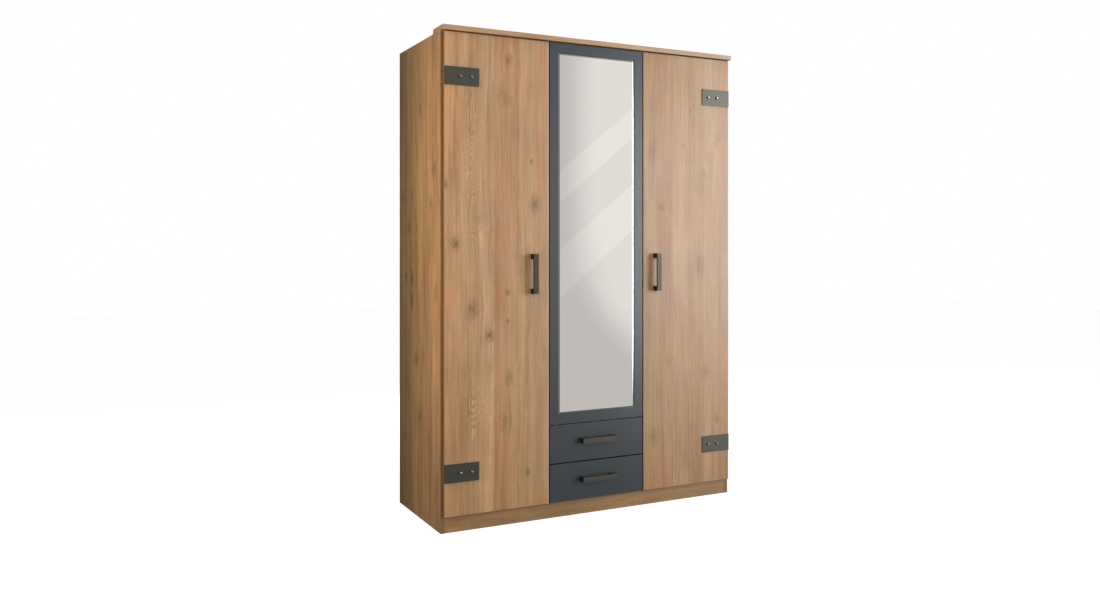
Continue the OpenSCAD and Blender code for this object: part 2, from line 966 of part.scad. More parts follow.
module cabinet_runners() {
    color("#e4e4e0") place()
        for (z0 = [low_z0, up_z0]) {
            at_runner(z0) cabinet_runner();
            flip() at_runner(z0) cabinet_runner();
        }
}

module members(z0) {
    color("#e4e4e0") place() {
        at_runner(z0) drawer_member();
        flip() at_runner(z0) drawer_member();
    }
}

// wheel with six blind holes in its hub
module roller(x, y, z, r) {
    ring_r = (r + stud_r + stud_hub) / 2;
    difference() {
        rod_x(x, y, z, r, roller_w);
        rod_x(x - 1, y, z, stud_r + play, roller_w + 2);
        for (a = [0:60:300])
            rod_x(x - 1, y + ring_r * cos(a), z + ring_r * sin(a), roller_bore_r, roller_bore_l);
    }
}

module cabinet_roller_pair(z0) {
    color("#f2f1ec") place() {
        at_runner(z0) roller(front_roller_x, front_roller_y, front_roller_z, front_roller_r);
        flip() at_runner(z0)
            roller(front_roller_x, front_roller_y, front_roller_z, front_roller_r);
    }
}

module drawer_roller_pair(z0) {
    color("#f2f1ec") place() {
        at_runner(z0) roller(rear_roller_x, rear_roller_y, rear_roller_z, rear_roller_r);
        flip() at_runner(z0)
            roller(rear_roller_x, rear_roller_y, rear_roller_z, rear_roller_r);
    }
}

left_side();
right_side();
left_divider();
right_divider();
top_panel();
bottom_panel();
front_plinth();
rear_plinth();
cornice();
back_sheets();
back_nails();
front_stretchers();
hat_shelf();
hanging_rail();
rail_sockets();
drawer_cover();
centre_shelf(0);  // centre_shelf_lower
centre_shelf(1);  // centre_shelf_middle
centre_shelf(2);  // centre_shelf_upper
right_shelf(0);  // right_shelf_first
right_shelf(1);  // right_shelf_second
right_shelf(2);  // right_shelf_third
right_shelf(3);  // right_shelf_fourth
shelf_pins();
carcass_screws();
wall_brackets();
cabinet_runners();
cabinet_roller_pair(up_z0);  // upper_cabinet_rollers
cabinet_roller_pair(low_z0);  // lower_cabinet_rollers
hinge_arms();
left_door();
left_door_handle();
left_door_straps();
left_door_bolts();
left_door_cups();
right_door();
right_door_handle();
right_door_straps();
right_door_bolts();
right_door_cups();
mirror_door();
mirror_stiles();
mirror_rails();
mirror_glass();
mirror_door_cups();
drawer_front(up_z0);  // upper_front
box_sides(up_z0);  // upper_box_sides
box_back(up_z0);  // upper_box_back
box_bottom(up_z0);  // upper_box_bottom
drawer_handle(up_z0);  // upper_handle
members(up_z0);  // upper_members
drawer_roller_pair(up_z0);  // upper_rollers
drawer_front(low_z0);  // lower_front
box_sides(low_z0);  // lower_box_sides
box_back(low_z0);  // lower_box_back
box_bottom(low_z0);  // lower_box_bottom
drawer_handle(low_z0);  // lower_handle
members(low_z0);  // lower_members
drawer_roller_pair(low_z0);  // lower_rollers
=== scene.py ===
# Looks, light and camera of the three-door wardrobe.
# Metres, in the frame of the CAD part: +Z up, the doors face -Y.

import json
import math

import bpy
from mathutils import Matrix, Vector


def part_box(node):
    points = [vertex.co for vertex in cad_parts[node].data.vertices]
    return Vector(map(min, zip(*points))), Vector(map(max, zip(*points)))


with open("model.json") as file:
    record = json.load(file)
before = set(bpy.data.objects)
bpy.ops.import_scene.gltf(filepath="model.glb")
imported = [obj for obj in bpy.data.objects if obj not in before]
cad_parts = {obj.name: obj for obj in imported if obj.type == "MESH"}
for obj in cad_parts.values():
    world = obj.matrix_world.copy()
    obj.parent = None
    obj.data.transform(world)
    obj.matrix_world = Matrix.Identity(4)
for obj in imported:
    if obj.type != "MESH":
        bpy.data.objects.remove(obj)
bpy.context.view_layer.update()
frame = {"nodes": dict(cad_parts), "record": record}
nodes = frame["nodes"]
record = frame["record"]

# faces and edges that the materials are placed by
LEFT_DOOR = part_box("left_door")
RIGHT_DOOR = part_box("right_door")
LEFT_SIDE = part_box("left_side")
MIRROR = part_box("mirror_glass")
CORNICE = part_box("cornice")
MM = 0.001
WHITE = (1.0, 1.0, 1.0, 1.0)


def srgb(red, green, blue):
    """Linear colour of an 8-bit display colour."""
    def linear(level):
        level = level / 255
        if level <= 0.04045:
            return level / 12.92
        return ((level + 0.055) / 1.055) ** 2.4
    return (linear(red), linear(green), linear(blue), 1.0)


def scaled(color, factor):
    """A linear colour made lighter or darker."""
    return tuple(channel * factor for channel in color[:3]) + (1.0,)


# ---- node graphs ----

class Graph:
    """Adds nodes to a node tree. add and group return the node, position returns three output
    sockets, feed returns nothing, and every other method returns one output socket."""

    def __init__(self, tree):
        self.tree = tree

    def add(self, kind, **settings):
        node = self.tree.nodes.new(kind)
        for name, value in settings.items():
            setattr(node, name, value)
        return node

    def feed(self, socket, value):
        if isinstance(value, bpy.types.NodeSocket):
            self.tree.links.new(value, socket)
        else:
            socket.default_value = value

    def math(self, operation, *values):
        node = self.add("ShaderNodeMath", operation=operation)
        for socket, value in zip(node.inputs, values):
            self.feed(socket, value)
        return node.outputs[0]

    def vector(self, x, y, z):
        node = self.add("ShaderNodeCombineXYZ")
        for socket, value in zip(node.inputs, (x, y, z)):
            self.feed(socket, value)
        return node.outputs[0]

    def times(self, first, second):
        return self.math("MULTIPLY", first, second)

    def plus(self, first, *others):
        for other in others:
            first = self.math("ADD", first, other)
        return first

    def minus(self, first, second):
        return self.math("SUBTRACT", first, second)

    def over(self, first, second):
        return self.math("DIVIDE", first, second)

    def centred(self, value, weight):
        """A value from 0 to 1, as a swing of this weight about 0."""
        return self.times(self.minus(value, 0.5), weight)

    def noise(self, x, y, z, detail=2.0, roughness=0.5):
        node = self.add("ShaderNodeTexNoise")
        self.feed(node.inputs["Vector"], self.vector(x, y, z))
        self.feed(node.inputs["Scale"], 1.0)
        self.feed(node.inputs["Detail"], detail)
        self.feed(node.inputs["Roughness"], roughness)
        return node.outputs[0]

    def noise_at(self, place, scales, detail, roughness=0.5):
        """Noise at a place, with its own scale per metre along x, y and z."""
        scaled_place = [self.times(value, scale) for value, scale in zip(place, scales)]
        return self.noise(*scaled_place, detail, roughness)

    def between(self, value, low, high, start=0.0, end=1.0, kind="SMOOTHSTEP"):
        """start below low, end above high, and a smooth step between them."""
        node = self.add("ShaderNodeMapRange", interpolation_type=kind, clamp=True)
        for socket, number in zip(node.inputs, (value, low, high, start, end)):
            self.feed(socket, number)
        return node.outputs[0]

    def inside(self, value, low, high, blur):
        """1 from low to high and 0 outside, with blurred ends."""
        return self.times(self.between(value, low - blur, low + blur),
                          self.between(value, high - blur, high + blur, 1.0, 0.0))

    def scale(self, color, factor):
        node = self.add("ShaderNodeVectorMath", operation="SCALE")
        self.feed(node.inputs[0], color[:3] if isinstance(color, tuple) else color)
        self.feed(node.inputs["Scale"], factor)
        return node.outputs[0]

    def mix(self, factor, first, second, blend="MIX"):
        node = self.add("ShaderNodeMix", data_type="RGBA", blend_type=blend)
        self.feed(node.inputs[0], factor)
        self.feed(node.inputs[6], first)
        self.feed(node.inputs[7], second)
        return node.outputs[2]

    def tint(self, factor, color, tint):
        """Mixes a colour towards its product with a tint."""
        return self.mix(factor, color, self.mix(1.0, color, tint, "MULTIPLY"))

    def steps(self, factor, stops):
        """The colour of the last (position, colour) stop below the factor."""
        node = self.add("ShaderNodeValToRGB")
        ramp = node.color_ramp
        ramp.interpolation = "CONSTANT"
        while len(ramp.elements) < len(stops):
            ramp.elements.new(1.0)
        for element, (position, color) in zip(ramp.elements, stops):
            element.position = position
            element.color = color
        self.feed(node.inputs[0], factor)
        return node.outputs[0]

    def group(self, tree, **values):
        node = self.add("ShaderNodeGroup", node_tree=tree)
        for name, value in values.items():
            self.feed(node.inputs[name.replace("_", " ")], value)
        return node

    def position(self):
        """x, y and z of the shaded point, in the part's frame at rest."""
        place = self.add("ShaderNodeTexCoord").outputs["Object"]
        node = self.add("ShaderNodeSeparateXYZ")
        self.feed(node.inputs[0], place)
        return node.outputs[0], node.outputs[1], node.outputs[2]


def new_group(name, inputs, outputs):
    """A shader group, its graph, its input sockets by name and its output node."""
    tree = bpy.data.node_groups.new(name, "ShaderNodeTree")
    for direction, sockets in (("INPUT", inputs), ("OUTPUT", outputs)):
        for socket, kind in sockets:
            tree.interface.new_socket(socket, in_out=direction, socket_type="NodeSocket" + kind)
    graph = Graph(tree)
    entry = graph.add("NodeGroupInput")
    leave = graph.add("NodeGroupOutput")
    return tree, graph, entry.outputs, leave.inputs


def new_material(name, **constants):
    """A material with its graph and shader; constants go straight onto the shader's sockets."""
    material = bpy.data.materials.new(name)
    material.use_nodes = True
    graph = Graph(material.node_tree)
    shader = material.node_tree.nodes["Principled BSDF"]
    for socket, value in constants.items():
        shader.inputs[socket.replace("_", " ")].default_value = value
    return material, graph, shader


def add_bump(graph, shader, height, distance, strength):
    """Bumps a shader's surface by a height map; distance is in metres."""
    bump = graph.add("ShaderNodeBump")
    graph.feed(bump.inputs["Height"], height)
    graph.feed(bump.inputs["Distance"], distance)
    graph.feed(bump.inputs["Strength"], strength)
    graph.feed(shader.inputs["Normal"], bump.outputs[0])


# ---- oak decor ----

# a knot's shape, in knot sizes
KNOT_FRAY = 2.4         # how far noise frays its outline
KNOT_TALL = 1.6         # its height over its width
KNOT_RINGS = 13.0       # ring phase in radians for each knot size
KNOT_PULL = 0.40        # the part of its offset by which the grain bends at the knot

# grain noises: scale across, scale along (both per metre), shift of the seed, detail, roughness
SLOW_WANDER = (4.0, 1.5, 0.0, 2.0, 0.5)
QUICK_WANDER = (13.0, 6.5, 3.0, 2.0, 0.5)
FIBRE = (420.0, 9.0, 5.0, 3.0, 0.6)
STREAK = (120.0, 1.9, 11.0, 3.0, 0.70)
WAVY_BAND = (24.0, 1.3, 23.0, 3.0, 0.55)
FLAME = (17.0, 4.2, 31.0, 5.0, 0.68)
RELIEF = (16.0, 4.0, 47.0, 0.0, 0.5)
HAIRLINE = (230.0, 1.7, 71.0, 2.0, 0.5)
PORE = (1400.0, 42.0, 53.0, 1.0, 0.5)
ROSY = (9.0, 2.0, 61.0, 3.0, 0.6)
RING_PHASE = 150.0      # radians of growth lines from the relief's 0 to its 1

# what the print's marks multiply the base colour by
DARK_GRAIN = (0.58, 0.50, 0.38, 1.0)
LIGHT_GRAIN = (1.40, 1.42, 1.42, 1.0)
ROSY_TINT = (1.07, 0.92, 0.80, 1.0)
HAIRLINE_TINT = (0.62, 0.54, 0.42, 1.0)
RING_TINT = (0.54, 0.52, 0.44, 1.0)
PALE_RING_TINT = (1.25, 1.28, 1.30, 1.0)
PORE_TINT = (0.46, 0.40, 0.33, 1.0)
HALO_TINT = (0.58, 0.56, 0.42, 1.0)

KNOT_COLOR = srgb(84, 64, 38)


def floats(*names):
    return [(name, "Float") for name in names]


def knot_group():
    """One knot: bends the grain round itself and adds its dark specks, its halo and its rings."""
    inputs = floats("Across", "Along", "Core", "Halo", "Ring",
                    "Knot across", "Knot along", "Size", "Depth")
    outputs = floats("Across", "Core", "Halo", "Ring")
    tree, g, given, result = new_group("oak knot", inputs, outputs)
    across, along = given["Across"], given["Along"]
    size, depth = given["Size"], given["Depth"]
    offset = g.minus(across, given["Knot across"])
    rise = g.minus(along, given["Knot along"])

    ragged = g.noise(g.times(across, 55.0), g.times(along, 30.0), 3.7, 3.0, 0.65)
    wide = g.plus(g.over(offset, size), g.centred(ragged, KNOT_FRAY))
    tall = g.over(rise, g.times(size, KNOT_TALL))
    distance = g.math("SQRT", g.plus(g.times(wide, wide), g.times(tall, tall)))

    halo = g.times(g.between(distance, 0.3, 2.1, 1.0, 0.0), depth)
    speck = g.noise(g.times(across, 230.0), g.times(along, 95.0), 1.3, 2.0)
    speck = g.times(g.between(speck, 0.50, 0.64), halo)
    core = g.times(g.between(distance, 0.1, 0.75, 1.0, 0.0), g.times(depth, depth))
    wave = g.math("SINE", g.times(distance, KNOT_RINGS))
    ring = g.times(g.between(wave, 0.0, 1.0), halo)
    pull = g.times(g.between(distance, 0.0, 3.5, KNOT_PULL, 0.0), offset)

    g.feed(result["Across"], g.minus(across, pull))
    core = g.math("MAXIMUM", core, speck)
    for name, mark in (("Core", core), ("Halo", halo), ("Ring", ring)):
        g.feed(result[name], g.math("MAXIMUM", given[name], mark))
    return tree


def oak_group():
    """Printed oak: fibres, wavy bands, nested growth lines, pores and knots on a base colour."""
    inputs = floats("Across", "Along", "Seed") + [("Base", "Color")]
    inputs += floats("Figure", "Contrast", "Core", "Halo", "Ring")
    outputs = [("Color", "Color")] + floats("Roughness", "Height")
    tree, g, given, result = new_group("oak decor", inputs, outputs)
    figure = given["Figure"]

    def grain(u, layer):
        across_scale, along_scale, shift, detail, roughness = layer
        return g.noise(g.times(u, across_scale), g.times(given["Along"], along_scale),
                       g.plus(given["Seed"], shift), detail, roughness)

    # grain lines wander to the side as they rise
    swept = g.plus(given["Across"], g.centred(grain(given["Across"], SLOW_WANDER), 0.040))
    u = g.plus(swept, g.centred(grain(given["Across"], QUICK_WANDER), 0.007))
    fibre = grain(u, FIBRE)
    streak = grain(u, STREAK)
    band = grain(u, WAVY_BAND)
    flame = grain(u, FLAME)

    # growth lines nest where the saw cut lies flat to the rings
    relief = grain(swept, RELIEF)
    wave = g.math("SINE", g.plus(g.times(relief, RING_PHASE), g.times(fibre, 1.2)))
    rings = g.times(g.between(wave, 0.0, 0.95), figure)
    pale_rings = g.times(g.between(wave, -0.95, -0.3, 1.0, 0.0), figure)
    rings = g.math("MAXIMUM", rings, g.times(given["Ring"], 0.8))

    hairline = g.between(grain(u, HAIRLINE), 0.52, 0.68)
    pore = g.between(grain(u, PORE), 0.58, 0.70)
    pore = g.times(pore, g.between(streak, 0.40, 0.62, 0.25, 1.0))

    # 0 is the darkest of the print and 1 the lightest
    light = g.plus(g.centred(streak, 0.85), g.centred(fibre, 0.55),
                   g.centred(band, 0.85), g.centred(flame, 0.80))
    light = g.plus(0.5, g.times(light, given["Contrast"]))
    darkest = g.mix(1.0, given["Base"], DARK_GRAIN, "MULTIPLY")
    lightest = g.mix(1.0, given["Base"], LIGHT_GRAIN, "MULTIPLY")
    color = g.mix(g.between(light, 0.0, 1.0, kind="LINEAR"), darkest, lightest)

    rosy = g.between(grain(u, ROSY), 0.46, 0.66, 0.0, 0.6)
    color = g.tint(rosy, color, ROSY_TINT)
    marks = ((hairline, 0.36, HAIRLINE_TINT), (rings, 0.40, RING_TINT),
             (pale_rings, 0.36, PALE_RING_TINT), (pore, 0.34, PORE_TINT),
             (given["Halo"], 0.52, HALO_TINT))
    for mask, strength, tint in marks:
        color = g.tint(g.times(mask, strength), color, tint)
    g.feed(result["Color"], g.mix(g.times(given["Core"], 0.75), color, KNOT_COLOR))

    rough = g.plus(0.45, g.centred(streak, 0.14), g.times(pore, 0.12))
    g.feed(result["Roughness"], rough)
    height = g.minus(g.times(fibre, 0.6), g.times(pore, 0.9))
    g.feed(result["Height"], g.minus(height, g.times(rings, 0.3)))
    return tree


KNOT = knot_group()
OAK = oak_group()

OAK_BUMP = 0.0002
# colour of painted shade on edges beside dark gaps
PAINTED_SHADE_COLOR = srgb(128, 92, 50)
# colour of a painted highlight on an edge that catches light
PAINTED_HIGHLIGHT_COLOR = srgb(236, 204, 164)
# painted shade covers a board's narrow face, and fades out between these distances from it
SHADE_START = 0.0002
SHADE_END = 0.0007
# a painted highlight fades in between these distances from a door's right edge
HIGHLIGHT_START = 0.0032
HIGHLIGHT_END = 0.0018


def oak_material(name, across, along, base, seed, contrast=1.0, knots=(), edge=None):
    """Oak decor. across and along are functions of (graph, x, y, z). base is a function of
    (graph, across, along) that returns a colour and a growth-line strength. Knots are (across,
    along, size, depth). edge is a function of (graph, x, y) that returns two masks: of painted
    shade on dark edges and of a painted highlight on a light edge."""
    material, g, shader = new_material(name, IOR=1.46)
    x, y, z = g.position()
    u = across(g, x, y, z)
    v = along(g, x, y, z)
    color, figure = base(g, u, v)
    core, halo, ring = 0.0, 0.0, 0.0
    bent = u
    for knot_across, knot_along, size, depth in knots:
        knot = g.group(KNOT, Across=bent, Along=v, Core=core, Halo=halo, Ring=ring,
                       Knot_across=knot_across, Knot_along=knot_along, Size=size, Depth=depth)
        bent, core, halo, ring = knot.outputs
    oak = g.group(OAK, Across=bent, Along=v, Seed=seed, Base=color, Figure=figure,
                  Contrast=contrast, Core=core, Halo=halo, Ring=ring)
    color = oak.outputs["Color"]
    if edge is not None:
        # a painted highlight on a light edge, then painted shade on dark edges
        painted_shade, painted_highlight = edge(g, x, y)
        color = g.mix(painted_highlight, color, PAINTED_HIGHLIGHT_COLOR)
        color = g.mix(painted_shade, color, PAINTED_SHADE_COLOR)
    g.feed(shader.inputs["Base Color"], color)
    g.feed(shader.inputs["Roughness"], oak.outputs["Roughness"])
    add_bump(g, shader, oak.outputs["Height"], OAK_BUMP, 0.6)
    return material


def planks(stops, width, windows=()):
    """Base colour and growth-line strength that change from plank to plank across a board.
    stops are (distance from the board's edge in mm, colour, growth-line strength). Windows are
    the (low, high) heights in which strong growth lines show."""
    joint_waver = 0.004
    outside_windows = 0.2
    window_blur = 0.04

    def base(g, u, v):
        waver = g.noise(g.times(u, 30.0), g.times(v, 2.0), 8.1, 2.0)
        place = g.over(g.plus(u, g.centred(waver, joint_waver)), width)
        color = g.steps(place, [(mm * MM / width, tint) for mm, tint, strength in stops])
        strength = g.steps(place, [(mm * MM / width, (strength, strength, strength, 1.0))
                                   for mm, tint, strength in stops])
        if windows:
            shown = outside_windows
            for low, high in windows:
                shown = g.plus(shown, g.inside(v, low, high, window_blur))
            strength = g.times(strength, shown)
        return color, strength
    return base


def random_planks(tint, spread):
    """Planks of one width whose tint and growth-line strength vary, the same way on each run."""
    plank_width = 0.084
    keeps_positive = 5.0

    def base(g, u, v):
        index = g.math("FLOOR", g.over(g.plus(u, keeps_positive), plank_width))
        chance = g.add("ShaderNodeTexWhiteNoise", noise_dimensions="1D")
        g.feed(chance.inputs["W"], index)
        value = chance.outputs["Value"]
        level = g.plus(1.0 - spread / 2, g.times(value, spread))
        strength = g.between(g.math("FRACT", g.times(value, 7.0)), 0.4, 0.8, 0.1, 0.8)
        return g.scale(tint, level), strength
    return base


def upright(origin_x, origin_y):
    """Grain along z; across counts from the given x, and runs on round the edges along y."""
    def across(g, x, y, z):
        return g.plus(g.minus(x, origin_x), g.minus(y, origin_y))
    return across


def lying(origin_y, origin_z):
    """Grain along x; across runs over the top and down the front."""
    def across(g, x, y, z):
        return g.plus(g.minus(y, origin_y), g.minus(z, origin_z))
    return across


def up(g, x, y, z):
    return z


def sideways(g, x, y, z):
    return x


DOOR_WIDTH = LEFT_DOOR[1].x - LEFT_DOOR[0].x


def door_painted_edges(box, rim):
    """Masks of painted shade on a door's left edge, where the gap beside it is dark, and, where rim
    is 1, of a painted highlight along its right edge, where light catches it.
    """
    def edge(g, x, y):
        painted_shade = g.between(x, box[0].x + SHADE_START, box[0].x + SHADE_END, 1.0, 0.0)
        painted_highlight = g.between(x, box[1].x - HIGHLIGHT_START, box[1].x - HIGHLIGHT_END, 0.0, rim)
        return painted_shade, painted_highlight
    return edge


def left_door_oak():
    rosy = srgb(175, 131, 88)
    olive = srgb(172, 134, 91)
    straw = srgb(177, 140, 98)
    rose = srgb(171, 126, 82)
    tan = srgb(175, 134, 90)
    pale = srgb(175, 138, 93)
    blush = srgb(175, 133, 92)
    stops = [(0, rosy, 0.1), (74, olive, 0.3), (92, olive, 1.0), (128, olive, 0.3),
             (142, straw, 0.2), (205, rose, 0.15), (262, tan, 0.15), (318, pale, 0.1),
             (383, blush, 0.1)]
    windows = ((1.30, 1.72), (1.07, 1.18), (0.33, 0.56))
    knots = [(0.045, 1.130, 0.017, 0.95), (0.115, 0.870, 0.018, 0.80), (0.188, 0.768, 0.013, 1.00),
             (0.385, 1.290, 0.019, 0.85), (0.365, 1.462, 0.007, 1.00), (0.265, 0.935, 0.007, 0.90),
             (0.245, 1.720, 0.022, 0.55), (0.268, 1.865, 0.014, 0.70), (0.250, 0.420, 0.022, 0.55),
             (0.272, 0.590, 0.013, 0.60), (0.008, 1.360, 0.008, 0.90), (0.352, 0.205, 0.008, 1.00),
             (0.268, 0.820, 0.005, 0.90), (0.425, 0.680, 0.016, 0.40), (0.150, 1.235, 0.026, 0.42),
             (0.335, 1.050, 0.024, 0.30), (0.190, 0.640, 0.018, 0.35), (0.110, 1.580, 0.016, 0.35)]
    return oak_material("oak left door", upright(LEFT_DOOR[0].x, LEFT_DOOR[0].y), up,
                        planks(stops, DOOR_WIDTH, windows), 2.3, knots=knots,
                        edge=door_painted_edges(LEFT_DOOR, 1.0))


def right_door_oak():
    tan = srgb(168, 129, 85)
    warm = srgb(171, 127, 84)
    pale = srgb(175, 138, 96)
    stops = [(0, tan, 0.12), (66, warm, 0.18), (150, pale, 0.08), (226, tan, 0.22),
             (310, pale, 0.12), (386, warm, 0.10)]
    knots = [(0.045, 1.530, 0.019, 0.60), (0.050, 0.292, 0.019, 0.60), (0.090, 1.290, 0.010, 0.75),
             (0.290, 1.040, 0.020, 0.60), (0.300, 1.375, 0.016, 0.45), (0.318, 0.560, 0.018, 0.50),
             (0.335, 1.520, 0.014, 0.55), (0.372, 1.580, 0.010, 0.55), (0.390, 1.610, 0.012, 0.50),
             (0.312, 1.440, 0.012, 0.55), (0.380, 0.345, 0.012, 0.50), (0.240, 1.720, 0.005, 0.90),
             (0.130, 0.620, 0.014, 0.45), (0.205, 1.560, 0.006, 0.70)]
    return oak_material("oak right door", upright(RIGHT_DOOR[0].x, RIGHT_DOOR[0].y), up,
                        planks(stops, DOOR_WIDTH), 7.9, contrast=0.95, knots=knots,
                        edge=door_painted_edges(RIGHT_DOOR, 0.0))


def front_edge_shade(g, x, y):
    """Mask of painted shade on the front edges of the side panels, in the shadow between them and
    the doors, and no painted highlight.
    """
    front = LEFT_SIDE[0].y
    return g.between(y, front + SHADE_START, front + SHADE_END, 1.0, 0.0), 0.0


def side_oak():
    depth = LEFT_SIDE[1].y - LEFT_SIDE[0].y
    # the stops darken towards the rear edge: partly painted shade of the light falling off along
    # the side, partly the print's own plank tones
    stops = [(0, srgb(175, 131, 89), 0.2), (70, srgb(182, 137, 91), 0.15),
             (150, srgb(174, 130, 84), 0.3), (220, srgb(173, 131, 80), 0.2),
             (300, srgb(163, 123, 74), 0.2), (370, srgb(150, 112, 63), 0.6),
             (440, srgb(136, 102, 56), 0.3), (510, srgb(120, 88, 45), 0.4)]
    knots = [(0.375, 0.985, 0.018, 0.9), (0.455, 0.990, 0.014, 0.9), (0.375, 1.330, 0.018, 0.6),
             (0.380, 0.890, 0.020, 0.9), (0.120, 1.290, 0.018, 0.6), (0.075, 1.430, 0.016, 0.7),
             (0.055, 0.935, 0.018, 0.5), (0.310, 0.650, 0.018, 0.8), (0.500, 1.330, 0.018, 0.7),
             (0.260, 1.680, 0.014, 0.7), (0.270, 0.420, 0.014, 0.7), (0.420, 1.200, 0.016, 0.7)]

    def across(g, x, y, z):
        # both sides share the decor, which runs on round their edges
        below_face = g.minus(-LEFT_SIDE[0].x, g.math("ABSOLUTE", x))
        return g.plus(g.minus(y, LEFT_SIDE[0].y), below_face)

    return oak_material("oak side", across, up, planks(stops, depth), 4.4, contrast=1.35,
                        knots=knots, edge=front_edge_shade)


def plain_oak(name, across, along, tint, seed, spread=0.14):
    return oak_material(name, across, along, random_planks(tint, spread), seed, contrast=0.9)


# ---- other materials ----

def mottled(name, color, rough, amount, scale, **constants):
    """A painted, printed or plated surface: soft mottling, fine speckle and a slight texture.
    amount is how much the colour varies. A greater scale makes a finer pattern."""
    material, g, shader = new_material(name, **constants)
    place = g.position()
    soft = g.noise_at(place, (scale * 0.2,) * 3, 3.0)
    fine = g.noise_at(place, (scale * 12,) * 3, 2.0)
    level = g.plus(g.times(soft, amount), g.times(fine, amount * 0.6))
    level = g.plus(level, 1.0 - amount * 0.8)
    g.feed(shader.inputs["Base Color"], g.scale(color, level))
    g.feed(shader.inputs["Roughness"], g.plus(rough - 0.05, g.times(g.plus(soft, fine), 0.05)))
    add_bump(g, shader, fine, 0.0001, 0.5)
    return material


def brushed_dark(name, color, rough, upright_brush):
    """Dark lacquered metal with brush lines along its length, and a painted highlight on its sharp
    edges, where light catches them.
    """
    material, g, shader = new_material(name, Metallic=0.75)
    place = g.position()
    across_brush = 1600.0
    along_brush = 14.0
    if upright_brush:
        lines = g.noise_at(place, (across_brush, across_brush, along_brush), 3.0)
    else:
        lines = g.noise_at(place, (along_brush, across_brush, across_brush), 3.0)
    smoke = g.noise_at(place, (40.0, 40.0, 40.0), 3.0)
    # painted highlight: sharp edges made lighter
    edge_highlight = g.add("ShaderNodeNewGeometry").outputs["Pointiness"]
    edge_highlight = g.between(edge_highlight, 0.52, 0.60, 0.0, 0.5)
    tone = g.mix(lines, scaled(color, 0.72), scaled(color, 1.30))
    tone = g.mix(g.times(smoke, 0.35), tone, scaled(color, 0.70))
    tone = g.mix(edge_highlight, tone, scaled(color, 2.0))
    g.feed(shader.inputs["Base Color"], tone)
    g.feed(shader.inputs["Roughness"], g.plus(rough, g.times(lines, 0.12)))
    add_bump(g, shader, lines, 0.00004, 0.6)
    return material


def mirror_material():
    """Silvered glass with a trace of haze; its bevel is darker, greenish and less sharp."""
    material, g, shader = new_material("mirror", Metallic=1.0)
    x, y, z = g.position()
    # the bevel's look fades out between these distances from the pane's edge
    fade_start = 0.0066
    fade_end = 0.0074
    greenish = (0.30, 0.33, 0.32, 1.0)
    middle = (MIRROR[0] + MIRROR[1]) / 2
    half = (MIRROR[1] - MIRROR[0]) / 2
    to_side = g.minus(half.x, g.math("ABSOLUTE", g.minus(x, middle.x)))
    to_end = g.minus(half.z, g.math("ABSOLUTE", g.minus(z, middle.z)))
    rim = g.between(g.math("MINIMUM", to_side, to_end), fade_start, fade_end, 1.0, 0.0)
    haze = g.noise(g.times(x, 9.0), 0.0, g.times(z, 9.0), 3.0)
    silver = g.mix(haze, (0.865, 0.855, 0.850, 1.0), (0.855, 0.845, 0.838, 1.0))
    g.feed(shader.inputs["Base Color"], g.mix(rim, silver, greenish))
    rough = g.math("MAXIMUM", g.between(haze, 0.3, 0.8, 0.0, 0.012), g.times(rim, 0.18))
    g.feed(shader.inputs["Roughness"], rough)
    return material


def graphite():
    """Matt graphite print with a faint upright grain; at the x of the mirror door's sides the edges
    are painted nearly black, painted shade of the dark gaps beside them.
    """
    material, g, shader = new_material("graphite decor", IOR=1.42)
    place = g.position()
    low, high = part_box("mirror_door")
    middle = (low.x + high.x) / 2
    half = (high.x - low.x) / 2
    painted_shade_black = (0.006, 0.007, 0.007, 1.0)
    fibre = g.noise_at(place, (500.0, 500.0, 12.0), 3.0)
    cloud = g.noise_at(place, (9.0, 9.0, 5.0), 3.0)
    color = g.mix(fibre, srgb(44, 51, 54), srgb(57, 64, 67))
    color = g.mix(g.times(cloud, 0.4), color, srgb(52, 61, 68))
    from_middle = g.math("ABSOLUTE", g.minus(place[0], middle))
    # painted shade: nearly black at the mirror door's side edges, where the gaps are dark
    band = g.between(from_middle, half - SHADE_END, half - SHADE_START)
    g.feed(shader.inputs["Base Color"], g.mix(band, color, painted_shade_black))
    g.feed(shader.inputs["Roughness"], g.plus(0.30, g.times(fibre, 0.06)))
    add_bump(g, shader, fibre, 0.00006, 0.5)
    return material


def hardboard():
    """Thin fibreboard, printed pale on the side that shows."""
    material, g, shader = new_material("hardboard")
    place = g.position()
    fibre = g.noise_at(place, (260.0, 260.0, 260.0), 4.0, 0.65)
    cloud = g.noise_at(place, (6.0, 6.0, 6.0), 3.0)
    fleck = g.between(fibre, 0.60, 0.70)
    color = g.mix(cloud, srgb(176, 148, 112), srgb(196, 170, 134))
    color = g.mix(g.times(fleck, 0.45), color, srgb(128, 98, 66))
    g.feed(shader.inputs["Base Color"], color)
    g.feed(shader.inputs["Roughness"], g.plus(0.62, g.times(fibre, 0.2)))
    add_bump(g, shader, fibre, 0.0002, 0.5)
    return material


shelf_tint = srgb(174, 136, 96)
cornice_tint = srgb(181, 143, 106)
plinth_tint = srgb(157, 119, 70)
board_across = upright(LEFT_SIDE[0].x, LEFT_SIDE[0].y)
lying_across = lying(CORNICE[0].y, CORNICE[0].z)
inside_oak = plain_oak("oak inside", board_across, up, shelf_tint, 13.1)
shelf_oak = plain_oak("oak shelf", lying_across, sideways, shelf_tint, 17.7)
cornice_oak = plain_oak("oak cornice", lying_across, sideways, cornice_tint, 19.3, 0.06)
plinth_oak = plain_oak("oak plinth", lying_across, sideways, plinth_tint, 29.9, 0.08)

